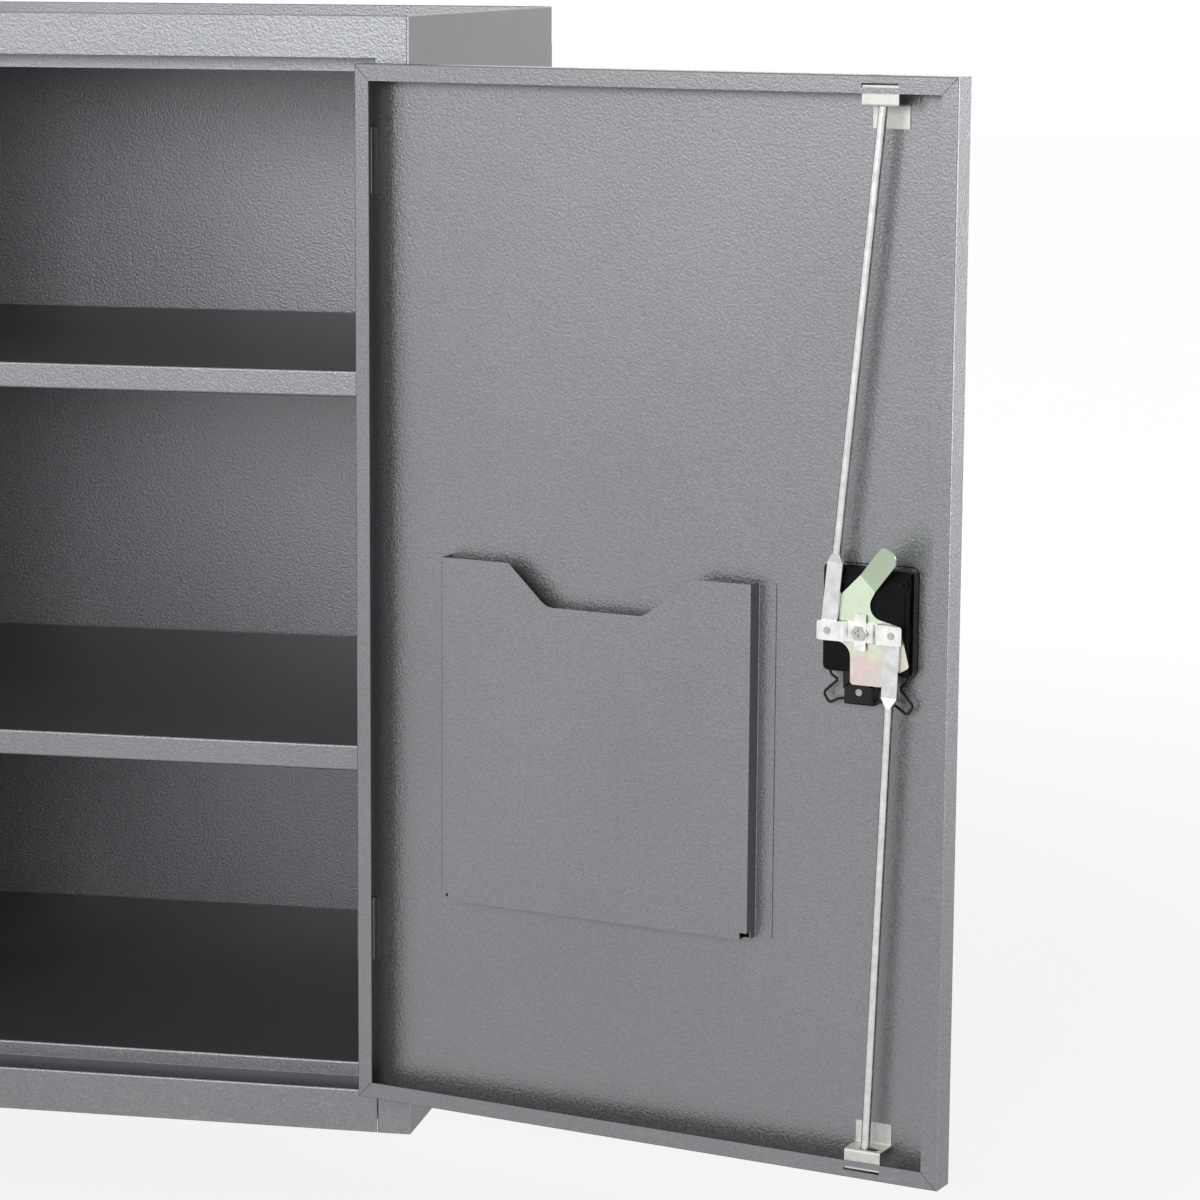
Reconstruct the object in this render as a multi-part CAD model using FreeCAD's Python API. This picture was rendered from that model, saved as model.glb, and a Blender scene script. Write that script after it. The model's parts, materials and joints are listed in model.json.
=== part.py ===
import FreeCAD, Part
import math
import os

# Overall sizes of the carcass, in millimetres
WIDTH = 640.0
DEPTH = 610.0
HEIGHT = 1016.0
GAUGE = 1.2
BEND = 1.0
JOIN_PLAY = 0.3
OVERRUN = 5.0
MIN_EDGE = 1e-4
DIAGONAL_SHARE = math.cos(math.radians(45))

# Top tray, posts, base and the stop that runs round the opening
RIM_HIGH = 37.0
RIM_HEM = 3.0
RIM_EDGE = 0.9
TRAY_RECESS = 15.0
POST_WIDE = 31.0
LEDGE_HIGH = 40.0
STOP_DEEP = 42.0
STOP_LIP = 13.0
FLOOR_TOP = 53.5
FLOOR_FLANGE = 18.0

# Shelves and the clips they rest on
SHELF_SHARES = (0.3225, 0.6953)
SHELF_LIP = 24.0
SHELF_RETURN = 12.0
SHELF_SETBACK = 48.0
SHELF_BACK_GAP = 4.0
SHELF_SIDE_GAP = 0.6
CLIP_LEG = 14.0
CLIP_LONG = 20.0
CLIP_GAUGE = 1.6
CLIP_SHARES = (0.108, 0.898)

# Base corner plates with anchor holes
GUSSET = 64.0
GUSSET_GAUGE = 3.0
ANCHOR_R = 5.0
ANCHOR_INSET = 38.0
ANCHOR_INSET_ENDS = 49.0

# Door pan
DOOR_SIDE_GAP = 3.4
DOOR_END_GAP = 4.0
DOOR_DEEP = 27.0
DOOR_RETURN = 14.7
DOOR_BEND = 1.8
MITRE_SLIT = 0.45
OPEN_ANGLE = 163.0

# Hinges
HINGE_LOWER = 126.0
HINGE_UPPER_DROP = 111.0
HINGE_HIGH = 52.0
HINGE_LEAF = 1.3
HINGE_LEAF_WIDE = 24.0
BARREL_R = 3.7
BARREL_OUT = 4.2
PIN_R = 2.0
PIN_HEAD_R = 3.2
PIN_HEAD = 1.4
PIN_HEAD_EDGE = 0.7
PIN_PLAY = 0.3
PIN_SEAT = 0.05
KNUCKLE_END = 13.0
KNUCKLE_GAP = 0.4
BACKING_MARGIN = 3.0
BACKING_GAUGE = 1.6
BACKING_FOOT = 7.0

# Document pocket
POCKET_LEFT = 83.7
POCKET_GAP = 56.2
POCKET_Z = 192.3
POCKET_HIGH = 309.2
POCKET_DEEP = 17.0
POCKET_GAUGE = 0.9
POCKET_FLANGE = 17.0
POCKET_BEND = 0.8
POCKET_CORNER = 6.0
NOTCH_TOP_SHARES = (0.222, 0.8245)
NOTCH_FOOT_SHARES = (0.3477, 0.662)
NOTCH_DEEP = 36.0
NOTCH_ROUND = 16.0
WELD_R = 3.2
WELD_SIDES = 12
WELD_HIGH = 0.4
WELD_DROPS = (14.0, 93.0)

# Lock pivot, rods and guides, set out from the free edge and the middle of the door
PIVOT_INSET = 82.3
PIVOT_RISE = 4.0
EAR_ARM = 29.2
ROD_R = 4.0
ROD_DEEP = 18.5
ROD_FLAT = 3.0
ROD_FLAT_WIDE = 14.0
UPPER_FLAT_LONG = 58.0
LOWER_FLAT_LONG = 53.0
ROD_TAPER = 8.0
ROD_NOSE = 1.2
ROD_SHY = 10.0
GUIDE_INSET = 69.5
GUIDE_WIDE = 33.0
GUIDE_GAUGE = 1.2
GUIDE_BACK = 20.0
GUIDE_FRONT = 16.0
GUIDE_DROP = 24.0
GUIDE_SHY = 0.1
ROD_HOLE_R = 4.9
ROD_HOLE_DRIFT = 7.4
RETURN_SLOT_HIGH = 3.6
RETURN_SLOT_INSET = 8.2
STRIKE_R = 6.5

# Lock housing: a dish let into the door from the outside
DISH_LEFT = 37.3
DISH_WIDE = 82.2
DISH_DROP = 35.4
DISH_HIGH = 91.0
DISH_DEEP = 14.0
DISH_WALL = 1.5
DISH_CORNER = 5.0
DISH_EDGE = 2.0
DISH_PLAY = 0.4
BEZEL = 2.0
BEZEL_EDGE = 1.0
BEZEL_LEFT = 47.0
BEZEL_WIDE = 104.0
BEZEL_DROP = 74.0
BEZEL_HIGH = 140.0
BEZEL_CORNER = 14.0
POST_INSETS = (6.9, 13.1)
POST_R = 3.5
POST_HOLE_R = 1.4
POST_TALL = 2.0
RIDGE_WIDE = 2.0
RIDGE_TALL = 0.8
RIDGE_INSETS = (2.2, 7.2)
RIDGE_RISE = 34.5
RIDGE_LONG = 24.0
RECESS_WIDE = 26.0
RECESS_HIGH = 30.0
RECESS_DEEP = 0.7

# Lock cylinder, block and wire clip
CYLINDER_AT = (-3.0, -54.5)
CYLINDER_R = 9.0
CYLINDER_PLAY = 0.2
CYLINDER_FACE = 1.0
PLUG_R = 6.2
PLUG_SHY = 0.3
PLUG_PLAY = 0.3
PLUG_PROUD = 0.8
KEY_SLOT_WIDE = 1.4
KEY_SLOT_LONG = 7.0
KEY_SLOT_DEEP = 3.0
BLOCK_WIDE = 27.0
BLOCK_HIGH = 16.0
BLOCK_DEEP = 14.4
BLOCK_EDGE = 1.5
ARCH_RISE = 3.5
ARCH_RUN = 8.0
ARCH_ROUND = 6.0
NECK_WIDE = 31.0
NECK_DEEP = 11.5
BLOCK_PIN_R = 3.0
BLOCK_PIN_PROUD = 0.4
BLOCK_PIN_EDGE = 0.2
BLOCK_PIN_AT = (-2.5, -51.8)
WIRE_R = 1.2
WIRE_SIDES = 6
WIRE_DEEP = 9.0
WIRE_BEND = 1.8
WIRE_SEAT = 0.1
WIRE_LEFT = ((-31.5, -39.0), (-24.0, -43.0), (-37.5, -55.5), (-32.0, -64.0), (-22.5, -59.0))
WIRE_RIGHT = ((39.0, -39.5), (32.5, -46.0), (45.0, -60.0), (39.5, -68.0), (26.0, -59.0))

# Turn handle, spindle, cam plate, rocker and screw
SPINDLE_R = 5.0
SPINDLE_PLAY = 0.3
SPINDLE_NOSE_R = 4.0
SPINDLE_SEAT = 0.05
HANDLE_LONG = 60.0
HANDLE_WIDE = 19.0
HANDLE_END_R = 6.0
HANDLE_FACE = 0.5
HANDLE_DEEP = 8.0
HANDLE_EDGE = 2.0
CAM_LIFT = 1.0
CAM_GAUGE = 1.5
FINGER_SLOPE = 28.5
FINGER_LONG = 45.0
FINGER_HALF = 9.6
FINGER_ANGLE = 44.5
FINGER_ROOT = (5.1, 41.7)
CAM_OUTLINE = ((-19.6, 30.4), (-20.7, 8.9), (-31.0, -2.5), (-31.0, -9.0), (-10.2, -9.5), (-9.8, -45.0),
               (19.6, -45.0), (23.0, -34.0), (36.0, -31.0), (43.6, -26.6),
               (36.0, 3.0), (33.5, 7.5), (1.1, 15.0))
CAM_ROUNDS = (4.0, 3.0, 3.0, 2.0, 13.0, 3.0, 3.0, 3.0, 3.0, 3.0, 3.0, 2.0, 12.3)
ROCKER_GAUGE = 2.0
ROCKER_HALF = 8.3
ROCKER_END = 9.5
ROCKER_CORNER = 2.5
ROCKER_BEND_AT = 12.0
ROCKER_RISE_RUN = 4.0
EAR_LIFT = 0.3
TAB_HALF_WIDE = 5.0
TAB_HALF_HIGH = 15.5
TAB_GAUGE = 1.2
TAB_ROUND = 0.8
SCREW_R = 6.9
SCREW_SIDES = 6
SCREW_HIGH = 3.4
SCREW_CROSS = 1.5
SCREW_CROSS_LONG = 7.0
SCREW_CROSS_DEEP = 1.5
RIVET_R = 2.5
RIVET_PLAY = 0.3
RIVET_HEAD_R = 3.3
RIVET_HEAD = 0.7
RIVET_EDGE = 0.4
RIVET_FOOT = 0.3

# Side keeper on the left post
KEEPER_TONGUE = 14.0
KEEPER_GAUGE = 1.5
KEEPER_NEAR = 28.0
KEEPER_FAR = 41.0
KEEPER_HIGH = 70.0
KEEPER_DROP = 25.0

# Places worked out from the sizes above
V = FreeCAD.Vector
UP = V(0, 0, 1)
LEFT = -WIDTH / 2
RIGHT = WIDTH / 2
FRONT = -DEPTH / 2
BACK = DEPTH / 2
HEAD = HEIGHT - RIM_HIGH
JAMB = RIGHT - POST_WIDE
STOP = FRONT + STOP_DEEP
INNER = RIGHT - GAUGE
LIP_HALF = JAMB - STOP_LIP
DOOR_X = JAMB - DOOR_SIDE_GAP
DOOR_WIDE = DOOR_X + JAMB - DOOR_SIDE_GAP
DOOR_Z = LEDGE_HIGH + DOOR_END_GAP
DOOR_HIGH = HEAD - DOOR_END_GAP - DOOR_Z
SHELF_TOPS = tuple(FLOOR_TOP + share * (HEAD - FLOOR_TOP) for share in SHELF_SHARES)
HINGE_BOTTOMS = (HINGE_LOWER, DOOR_HIGH - HINGE_UPPER_DROP)
PIVOT_U = DOOR_WIDE - PIVOT_INSET
PIVOT_Z = DOOR_HIGH / 2 + PIVOT_RISE
GUIDE_U = DOOR_WIDE - GUIDE_INSET
GUIDE_UPPER_Z = DOOR_HIGH - GUIDE_DROP
POST_U = DISH_WIDE - DISH_LEFT - POST_INSETS[0]
POST_Z = DISH_HIGH - DISH_DROP - POST_INSETS[1]
POCKET_WIDE = PIVOT_U - BEZEL_LEFT - POCKET_GAP - POCKET_LEFT
AXIS_X = JAMB - DOOR_SIDE_GAP / 2
AXIS_Y = FRONT - BARREL_OUT
CAM_DEEP = DISH_DEEP + CAM_LIFT
ROCKER_DEEP = CAM_DEEP + CAM_GAUGE
TAB_DEEP = ROCKER_DEEP + ROCKER_GAUGE
SCREW_DEEP = TAB_DEEP + TAB_GAUGE
FLAT_DEEP = ROD_DEEP - ROD_FLAT / 2
EAR_DEEP = ROD_DEEP + ROD_FLAT / 2 + EAR_LIFT


def box(x0, x1, y0, y1, z0, z1):
    return Part.makeBox(x1 - x0, y1 - y0, z1 - z0, V(x0, y0, z0))


def fuse(shapes):
    solid = shapes[0].multiFuse(shapes[1:]) if len(shapes) > 1 else shapes[0]
    return solid.removeSplitter()


def rounded_edges(points, rounds, closed):
    """Edges of a polyline whose corners are rounded by the given radii."""
    count = len(points)
    runs = []
    for i in range(count):
        here, radius = points[i], rounds[i]
        if radius <= 0 or (not closed and i in (0, count - 1)):
            runs.append((here, here, None))
            continue
        a = (points[i - 1] - here).normalize()
        b = (points[(i + 1) % count] - here).normalize()
        half = a.getAngle(b) / 2
        reach = radius / math.tan(half)
        mid = (a + b).normalize()
        centre = here + mid * (radius / math.sin(half))
        runs.append((here + a * reach, here + b * reach, centre - mid * radius))
    edges = []
    for i in range(count):
        start, end, middle = runs[i]
        if middle is not None:
            edges.append(Part.Arc(start, middle, end).toShape())
        if i + 1 < count or closed:
            follow = runs[(i + 1) % count][0]
            if (follow - end).Length > MIN_EDGE:
                edges.append(Part.makeLine(end, follow))
    return edges


def plate(points, rounds, push):
    """Flat plate: a rounded outline pushed along a vector."""
    wire = Part.Wire(rounded_edges(points, rounds, True))
    return Part.Face(wire).extrude(push)


def folded(line, gauge, bend, place, push):
    """Folded sheet: a 2-D line thickened to its left, placed in space and pushed."""
    def unit(a, b):
        long = math.hypot(b[0] - a[0], b[1] - a[1])
        return ((b[0] - a[0]) / long, (b[1] - a[1]) / long)

    ways = [unit(line[i], line[i + 1]) for i in range(len(line) - 1)]
    inside, near_r, far_r = [], [], []
    for i, point in enumerate(line):
        before = ways[max(i - 1, 0)]
        after = ways[min(i, len(ways) - 1)]
        cross = before[0] * after[1] - before[1] * after[0]
        dot = before[0] * after[0] + before[1] * after[1]
        miter = gauge / (1 + dot)
        inside.append((point[0] - (before[1] + after[1]) * miter, point[1] + (before[0] + after[0]) * miter))
        end = i in (0, len(line) - 1)
        near_r.append(0 if end else (bend + gauge if cross > 0 else bend))
        far_r.append(0 if end else (bend if cross > 0 else bend + gauge))
    ring = list(line) + inside[::-1]
    rounds = near_r + far_r[::-1]
    return plate([place(*point) for point in ring], rounds, push)


def door_point(u, deep, z):
    """A place on the closed door: u from the hinge edge, deep from the skin, z from its foot."""
    return V(DOOR_X - u, FRONT + deep, DOOR_Z + z)


def door_box(u0, u1, d0, d1, z0, z1):
    return box(DOOR_X - u1, DOOR_X - u0, FRONT + d0, FRONT + d1, DOOR_Z + z0, DOOR_Z + z1)


def lock_point(u, deep, z):
    return door_point(PIVOT_U + u, deep, PIVOT_Z + z)


def lock_box(u0, u1, d0, d1, z0, z1):
    return door_box(PIVOT_U + u0, PIVOT_U + u1, d0, d1, PIVOT_Z + z0, PIVOT_Z + z1)


def lock_disc(u, z, d0, d1, radius):
    return Part.makeCylinder(radius, d1 - d0, lock_point(u, d0, z), V(0, 1, 0))


def lock_plate(outline, rounds, d0, d1):
    points = [lock_point(u, d0, z) for u, z in outline]
    return plate(points, rounds, V(0, d1 - d0, 0))


def frame_outline(u0, wide, z0, high):
    return ((u0, z0), (u0 + wide, z0), (u0 + wide, z0 + high), (u0, z0 + high))


def turned(base, way, across, steps):
    """Turned piece: steps of radius and length along a line, revolved about that line."""
    points = [base + across * radius + way * along for radius, along in steps]
    face = Part.Face(Part.makePolygon(points + points[:1]))
    return face.revolve(base, way, 360)


def lock_turned(u, z, deep, steps):
    """Turned piece whose line runs into the cabinet from a depth on the door."""
    return turned(lock_point(u, deep, z), V(0, 1, 0), V(1, 0, 0), steps)


def regular_ring(centre, a, b, radius, sides):
    """Regular polygon round a centre, in the plane of two unit vectors."""
    turns = [2 * math.pi * i / sides for i in range(sides)]
    points = [centre + a * (radius * math.cos(t)) + b * (radius * math.sin(t)) for t in turns]
    return Part.makePolygon(points + points[:1])


def swing(shape):
    """Turn a door piece from closed to the open pose of rest."""
    turned = shape.copy()
    turned.rotate(V(AXIS_X, AXIS_Y, 0), UP, OPEN_ANGLE)
    return turned


def mirrored(shape):
    return shape.mirror(V(0, 0, 0), V(1, 0, 0))


# Carcass

def side_panel():
    """Side, front post, jamb and stop lip folded from one sheet."""
    line = ((LIP_HALF, STOP), (JAMB, STOP), (JAMB, FRONT), (RIGHT, FRONT), (RIGHT, BACK))
    return folded(line, GAUGE, BEND, lambda x, y: V(x, y, 0), UP * HEAD)


def back_panel():
    return box(-INNER, INNER, BACK - GAUGE, BACK, 0, HEAD)


def top_tray():
    tray = box(LEFT, RIGHT, FRONT, BACK, HEAD, HEIGHT)
    floor = HEIGHT - TRAY_RECESS
    hem = RIM_HEM
    tray = tray.cut(box(LEFT + hem, RIGHT - hem, FRONT + hem, BACK - hem, floor, HEIGHT + OVERRUN))
    tray = tray.cut(box(-INNER, INNER, FRONT + GAUGE, BACK - GAUGE, HEAD - OVERRUN, floor - GAUGE))
    long = [e for e in tray.Edges if e.Length > RIM_HIGH - BEND]
    tall = [e for e in long if abs(e.tangentAt(e.FirstParameter).z) > MIN_EDGE]
    tray = tray.makeFillet(BEND + GAUGE, [e for e in tall if abs(e.Vertexes[0].X) > RIGHT - MIN_EDGE])
    rim = [e for e in tray.Edges if e.BoundBox.ZMin > HEIGHT - MIN_EDGE]
    return tray.makeChamfer(RIM_EDGE, rim)


def head_rail():
    line = ((STOP + GAUGE, HEAD - STOP_LIP), (STOP + GAUGE, HEAD + GAUGE), (FRONT + GAUGE, HEAD + GAUGE))
    lip = folded(line, GAUGE, BEND, lambda y, z: V(-LIP_HALF, y, z), V(2 * LIP_HALF, 0, 0))
    ends = box(-INNER, INNER, FRONT + GAUGE, STOP - BEND, HEAD, HEAD + GAUGE)
    return fuse([lip, ends]).cut(strike(HEAD, GUIDE_U))


def strike(z, u):
    place = V(DOOR_X - u, FRONT + ROD_DEEP, z - OVERRUN)
    return Part.makeCylinder(STRIKE_R, GAUGE + 2 * OVERRUN, place, UP)


def base_rail():
    line = ((FRONT, 0), (FRONT, LEDGE_HIGH), (STOP - JOIN_PLAY, LEDGE_HIGH))
    half = JAMB - JOIN_PLAY
    rail = folded(line[::-1], GAUGE, BEND, lambda y, z: V(-half, y, z), V(2 * half, 0, 0))
    return rail.cut(strike(LEDGE_HIGH - GAUGE, GUIDE_U))


def floor_pan():
    rear = BACK - GAUGE
    line = ((STOP, LEDGE_HIGH), (STOP, FLOOR_TOP), (rear, FLOOR_TOP), (rear, FLOOR_TOP - FLOOR_FLANGE))
    lip = folded(line[::-1], GAUGE, BEND, lambda y, z: V(-LIP_HALF, y, z), V(2 * LIP_HALF, 0, 0))
    deck = box(-INNER, INNER, STOP + 2 * GAUGE, rear - BEND - GAUGE, FLOOR_TOP - GAUGE, FLOOR_TOP)
    return fuse([lip, deck])


def base_gussets():
    plates = []
    for sx in (-1, 1):
        for sy in (-1, 1):
            x0, x1 = sorted((sx * INNER, sx * (INNER - GUSSET)))
            y0, y1 = sorted((sy * (BACK - GAUGE), sy * (BACK - GAUGE - GUSSET)))
            piece = box(x0, x1, y0, y1, 0, GUSSET_GAUGE)
            if sy < 0:
                notch = sorted((sx * (JAMB - STOP_LIP), sx * (RIGHT + OVERRUN)))
                piece = piece.cut(box(notch[0], notch[1], FRONT, STOP + GAUGE, -OVERRUN, HEIGHT))
            hole = V(sx * (INNER - ANCHOR_INSET), sy * (BACK - GAUGE - ANCHOR_INSET_ENDS), -OVERRUN)
            plates.append(piece.cut(Part.makeCylinder(ANCHOR_R, GUSSET_GAUGE + 2 * OVERRUN, hole, UP)))
    return Part.makeCompound(plates)


def shelf(top):
    front, rear = FRONT + SHELF_SETBACK, BACK - GAUGE - SHELF_BACK_GAP
    half = INNER - SHELF_SIDE_GAP
    foot = top - SHELF_LIP
    line = ((front + SHELF_RETURN, foot), (front, foot), (front, top), (rear, top), (rear, foot))
    return folded(line[::-1], GAUGE, BEND, lambda y, z: V(-half, y, z), V(2 * half, 0, 0))


def shelf_clips():
    clips = []
    for top in SHELF_TOPS:
        seat = top - GAUGE
        for share in CLIP_SHARES:
            y = FRONT + SHELF_SETBACK + share * (DEPTH - SHELF_SETBACK - SHELF_BACK_GAP)
            inner, under = INNER - CLIP_GAUGE, seat - CLIP_GAUGE
            angle = ((INNER, seat), (INNER, seat - CLIP_LEG), (inner, seat - CLIP_LEG), (inner, under),
                     (INNER - CLIP_LEG, under), (INNER - CLIP_LEG, seat))
            clip = plate([V(x, y, z) for x, z in angle], [0] * len(angle), V(0, CLIP_LONG, 0))
            clips += [clip, mirrored(clip)]
    return Part.makeCompound(clips)


def side_keeper():
    """Angle on the left jamb that the finger of the lock hooks behind."""
    reach = -JAMB + KEEPER_TONGUE
    line = ((reach, FRONT + KEEPER_NEAR), (-JAMB, FRONT + KEEPER_NEAR), (-JAMB, FRONT + KEEPER_FAR))
    foot = DOOR_Z + PIVOT_Z - KEEPER_DROP - KEEPER_HIGH / 2
    return folded(line[::-1], KEEPER_GAUGE, BEND, lambda x, y: V(x, y, foot), UP * KEEPER_HIGH)


# Hinges

def knuckles(foot, spans):
    rings = []
    for z0, z1 in spans:
        rings.append(Part.makeCylinder(BARREL_R, z1 - z0, V(AXIS_X, AXIS_Y, foot + z0), UP))
    return rings


def hinge_bore(foot, play):
    return Part.makeCylinder(PIN_R + play, HINGE_HIGH + 2 * OVERRUN, V(AXIS_X, AXIS_Y, foot - OVERRUN), UP)


END_SPANS = ((0, KNUCKLE_END), (HINGE_HIGH - KNUCKLE_END, HINGE_HIGH))
MID_SPANS = ((KNUCKLE_END + KNUCKLE_GAP, HINGE_HIGH - KNUCKLE_END - KNUCKLE_GAP),)


def hinge_leaf(x0, x1, foot, spans, play):
    pieces = [box(x0, x1, FRONT, FRONT + HINGE_LEAF_WIDE, foot, foot + HINGE_HIGH)]
    for z0, z1 in spans:
        pieces.append(box(x0, x1, AXIS_Y, FRONT, foot + z0, foot + z1))
    return fuse(pieces + knuckles(foot, spans)).cut(hinge_bore(foot, play))


def post_leaves():
    feet = [DOOR_Z + z for z in HINGE_BOTTOMS]
    return [hinge_leaf(JAMB - HINGE_LEAF, JAMB, foot, END_SPANS, PIN_SEAT) for foot in feet]


def door_leaves():
    feet = [DOOR_Z + z for z in HINGE_BOTTOMS]
    return [hinge_leaf(DOOR_X, DOOR_X + HINGE_LEAF, foot, MID_SPANS, PIN_PLAY) for foot in feet]


def hinge_pins():
    top = HINGE_HIGH + PIN_HEAD
    steps = ((0, 0), (PIN_R, 0), (PIN_R, HINGE_HIGH), (PIN_HEAD_R, HINGE_HIGH),
             (PIN_HEAD_R - PIN_HEAD_EDGE, top),
             (0, top))
    feet = [V(AXIS_X, AXIS_Y, DOOR_Z + z) for z in HINGE_BOTTOMS]
    return Part.makeCompound([turned(foot, UP, V(1, 0, 0), steps) for foot in feet])


def hinge_backings():
    angles = []
    for z in HINGE_BOTTOMS:
        foot, high = z - BACKING_MARGIN, HINGE_HIGH + 2 * BACKING_MARGIN
        line = ((GAUGE, HINGE_LEAF_WIDE), (GAUGE, GAUGE), (BACKING_FOOT, GAUGE))
        angles.append(folded(line, BACKING_GAUGE, BEND, lambda u, d: door_point(u, d, foot), UP * high))
    return Part.makeCompound(angles)


# Door

def door_pan():
    pan = door_box(0, DOOR_WIDE, 0, DOOR_DEEP, 0, DOOR_HIGH)
    edges = [e for e in pan.Edges if e.Length > DOOR_DEEP + MIN_EDGE]
    pan = pan.makeFillet(DOOR_BEND, edges)
    g, r = GAUGE, DOOR_RETURN
    pan = pan.cut(door_box(g, DOOR_WIDE - g, g, DOOR_DEEP - g, g, DOOR_HIGH - g))
    window = door_box(r, DOOR_WIDE - r, DOOR_DEEP - g - OVERRUN, DOOR_DEEP + OVERRUN, r, DOOR_HIGH - r)
    pan = pan.cut(window)
    cuts = mitre_slits() + rod_exits() + return_slots() + lock_openings()
    return pan.cut(Part.makeCompound(cuts))


def mitre_slits():
    """Open joints where the return flanges meet at the corners."""
    slits = []
    reach = DOOR_RETURN / DIAGONAL_SHARE + OVERRUN
    for u, z, angle in ((0, 0, 45), (DOOR_WIDE, 0, 135), (DOOR_WIDE, DOOR_HIGH, 225), (0, DOOR_HIGH, 315)):
        slit = Part.makeBox(reach, GAUGE + OVERRUN, MITRE_SLIT, V(DOOR_BEND, 0, -MITRE_SLIT / 2))
        slit.rotate(V(0, 0, 0), V(0, 1, 0), 180 + angle)
        slit.translate(door_point(u, DOOR_DEEP - GAUGE - MIN_EDGE, z))
        slits.append(slit)
    return slits


def slot_hole(u, drift, z, high):
    """Upright oblong hole for a rod; drift lengthens it along the door."""
    u0, u1 = sorted((u, u + drift))
    r = ROD_HOLE_R
    ends = [Part.makeCylinder(r, high, door_point(at, ROD_DEEP, z), UP) for at in (u0, u1)]
    return fuse(ends + [door_box(u0, u1, ROD_DEEP - r, ROD_DEEP + r, z, z + high)])


def rod_exits():
    high = GAUGE + 2 * OVERRUN
    upper = slot_hole(GUIDE_U, -ROD_HOLE_DRIFT, DOOR_HIGH - GAUGE - OVERRUN, high)
    lower = slot_hole(GUIDE_U, ROD_HOLE_DRIFT, -OVERRUN, high)
    return [upper, lower]


def return_slots():
    slots = []
    u0, u1 = GUIDE_U - GUIDE_WIDE / 2, GUIDE_U + GUIDE_WIDE / 2
    for z in (RETURN_SLOT_INSET, DOOR_HIGH - RETURN_SLOT_INSET):
        z0, z1 = z - RETURN_SLOT_HIGH / 2, z + RETURN_SLOT_HIGH / 2
        slots.append(door_box(u0, u1, DOOR_DEEP - GAUGE - MIN_EDGE, DOOR_DEEP + OVERRUN, z0, z1))
    return slots


def lock_openings():
    outline = frame_outline(-DISH_LEFT - DISH_PLAY, DISH_WIDE + 2 * DISH_PLAY, -DISH_DROP - DISH_PLAY,
                            DISH_HIGH + 2 * DISH_PLAY)
    rounds = [DISH_CORNER + DISH_PLAY] * len(outline)
    dish = lock_plate(outline, rounds, -OVERRUN, GAUGE + OVERRUN)
    u, z = CYLINDER_AT
    return [dish, lock_disc(u, z, -OVERRUN, GAUGE + OVERRUN, CYLINDER_R + CYLINDER_PLAY)]


def document_pocket():
    u0, u1 = POCKET_LEFT, POCKET_LEFT + POCKET_WIDE
    near, far = GAUGE, GAUGE + POCKET_DEEP - POCKET_GAUGE
    line = ((u0 - POCKET_FLANGE, near), (u0, near), (u0, far), (u1, far), (u1, near),
            (u1 + POCKET_FLANGE, near))
    pocket = folded(line, POCKET_GAUGE, POCKET_BEND, lambda u, d: door_point(u, d, POCKET_Z),
                    UP * POCKET_HIGH)
    base = door_box(u0, u1, near, far, POCKET_Z, POCKET_Z + POCKET_GAUGE)
    pocket = fuse([pocket, base])
    return pocket.cut(Part.makeCompound([pocket_notch()] + pocket_corners()))


def pocket_notch():
    top, foot = POCKET_Z + POCKET_HIGH, POCKET_Z + POCKET_HIGH - NOTCH_DEEP
    rise = top + OVERRUN
    left, right = (POCKET_WIDE * share for share in NOTCH_TOP_SHARES)
    low_left, low_right = (POCKET_WIDE * share for share in NOTCH_FOOT_SHARES)
    uv = ((left, rise), (left, top), (low_left, foot), (low_right, foot), (right, top), (right, rise))
    points = [door_point(POCKET_LEFT + u, POCKET_DEEP - OVERRUN, z) for u, z in uv]
    r = NOTCH_ROUND
    return plate(points, (0, 0, r, r, 0, 0), V(0, 3 * OVERRUN, 0))


def pocket_corners():
    cuts = []
    deep = POCKET_DEEP - POCKET_CORNER
    for u in (POCKET_LEFT, POCKET_LEFT + POCKET_WIDE):
        cuts.append(door_box(u - POCKET_CORNER, u + POCKET_CORNER, deep, DOOR_DEEP,
                             POCKET_Z - OVERRUN, POCKET_Z + POCKET_CORNER))
    return cuts


def pocket_welds():
    dots = []
    half = POCKET_FLANGE / 2
    deep = GAUGE + POCKET_GAUGE
    for u in (POCKET_LEFT - half, POCKET_LEFT + POCKET_WIDE + half):
        for drop in WELD_DROPS:
            place = door_point(u, deep, POCKET_Z + POCKET_HIGH - drop)
            ring = regular_ring(place, V(1, 0, 0), UP, WELD_R, WELD_SIDES)
            dots.append(Part.Face(ring).extrude(V(0, WELD_HIGH, 0)))
    return Part.makeCompound(dots)


def rod_guide(z, way, drift):
    """Z-shaped guide: back plate on the skin, shelf with the rod hole, front plate behind the return."""
    near, far = GAUGE, DOOR_DEEP - GAUGE - GUIDE_SHY - GUIDE_GAUGE
    line = ((near, z - way * GUIDE_BACK), (near, z), (far, z), (far, z + way * GUIDE_FRONT))
    if way > 0:
        line = line[::-1]
    u0 = GUIDE_U - GUIDE_WIDE / 2
    guide = folded(line, GUIDE_GAUGE, BEND, lambda d, h: door_point(u0, d, h), V(-GUIDE_WIDE, 0, 0))
    hole = slot_hole(GUIDE_U, drift, z - OVERRUN, 2 * OVERRUN)
    return guide.cut(hole)


# Lock housing on the door

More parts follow.
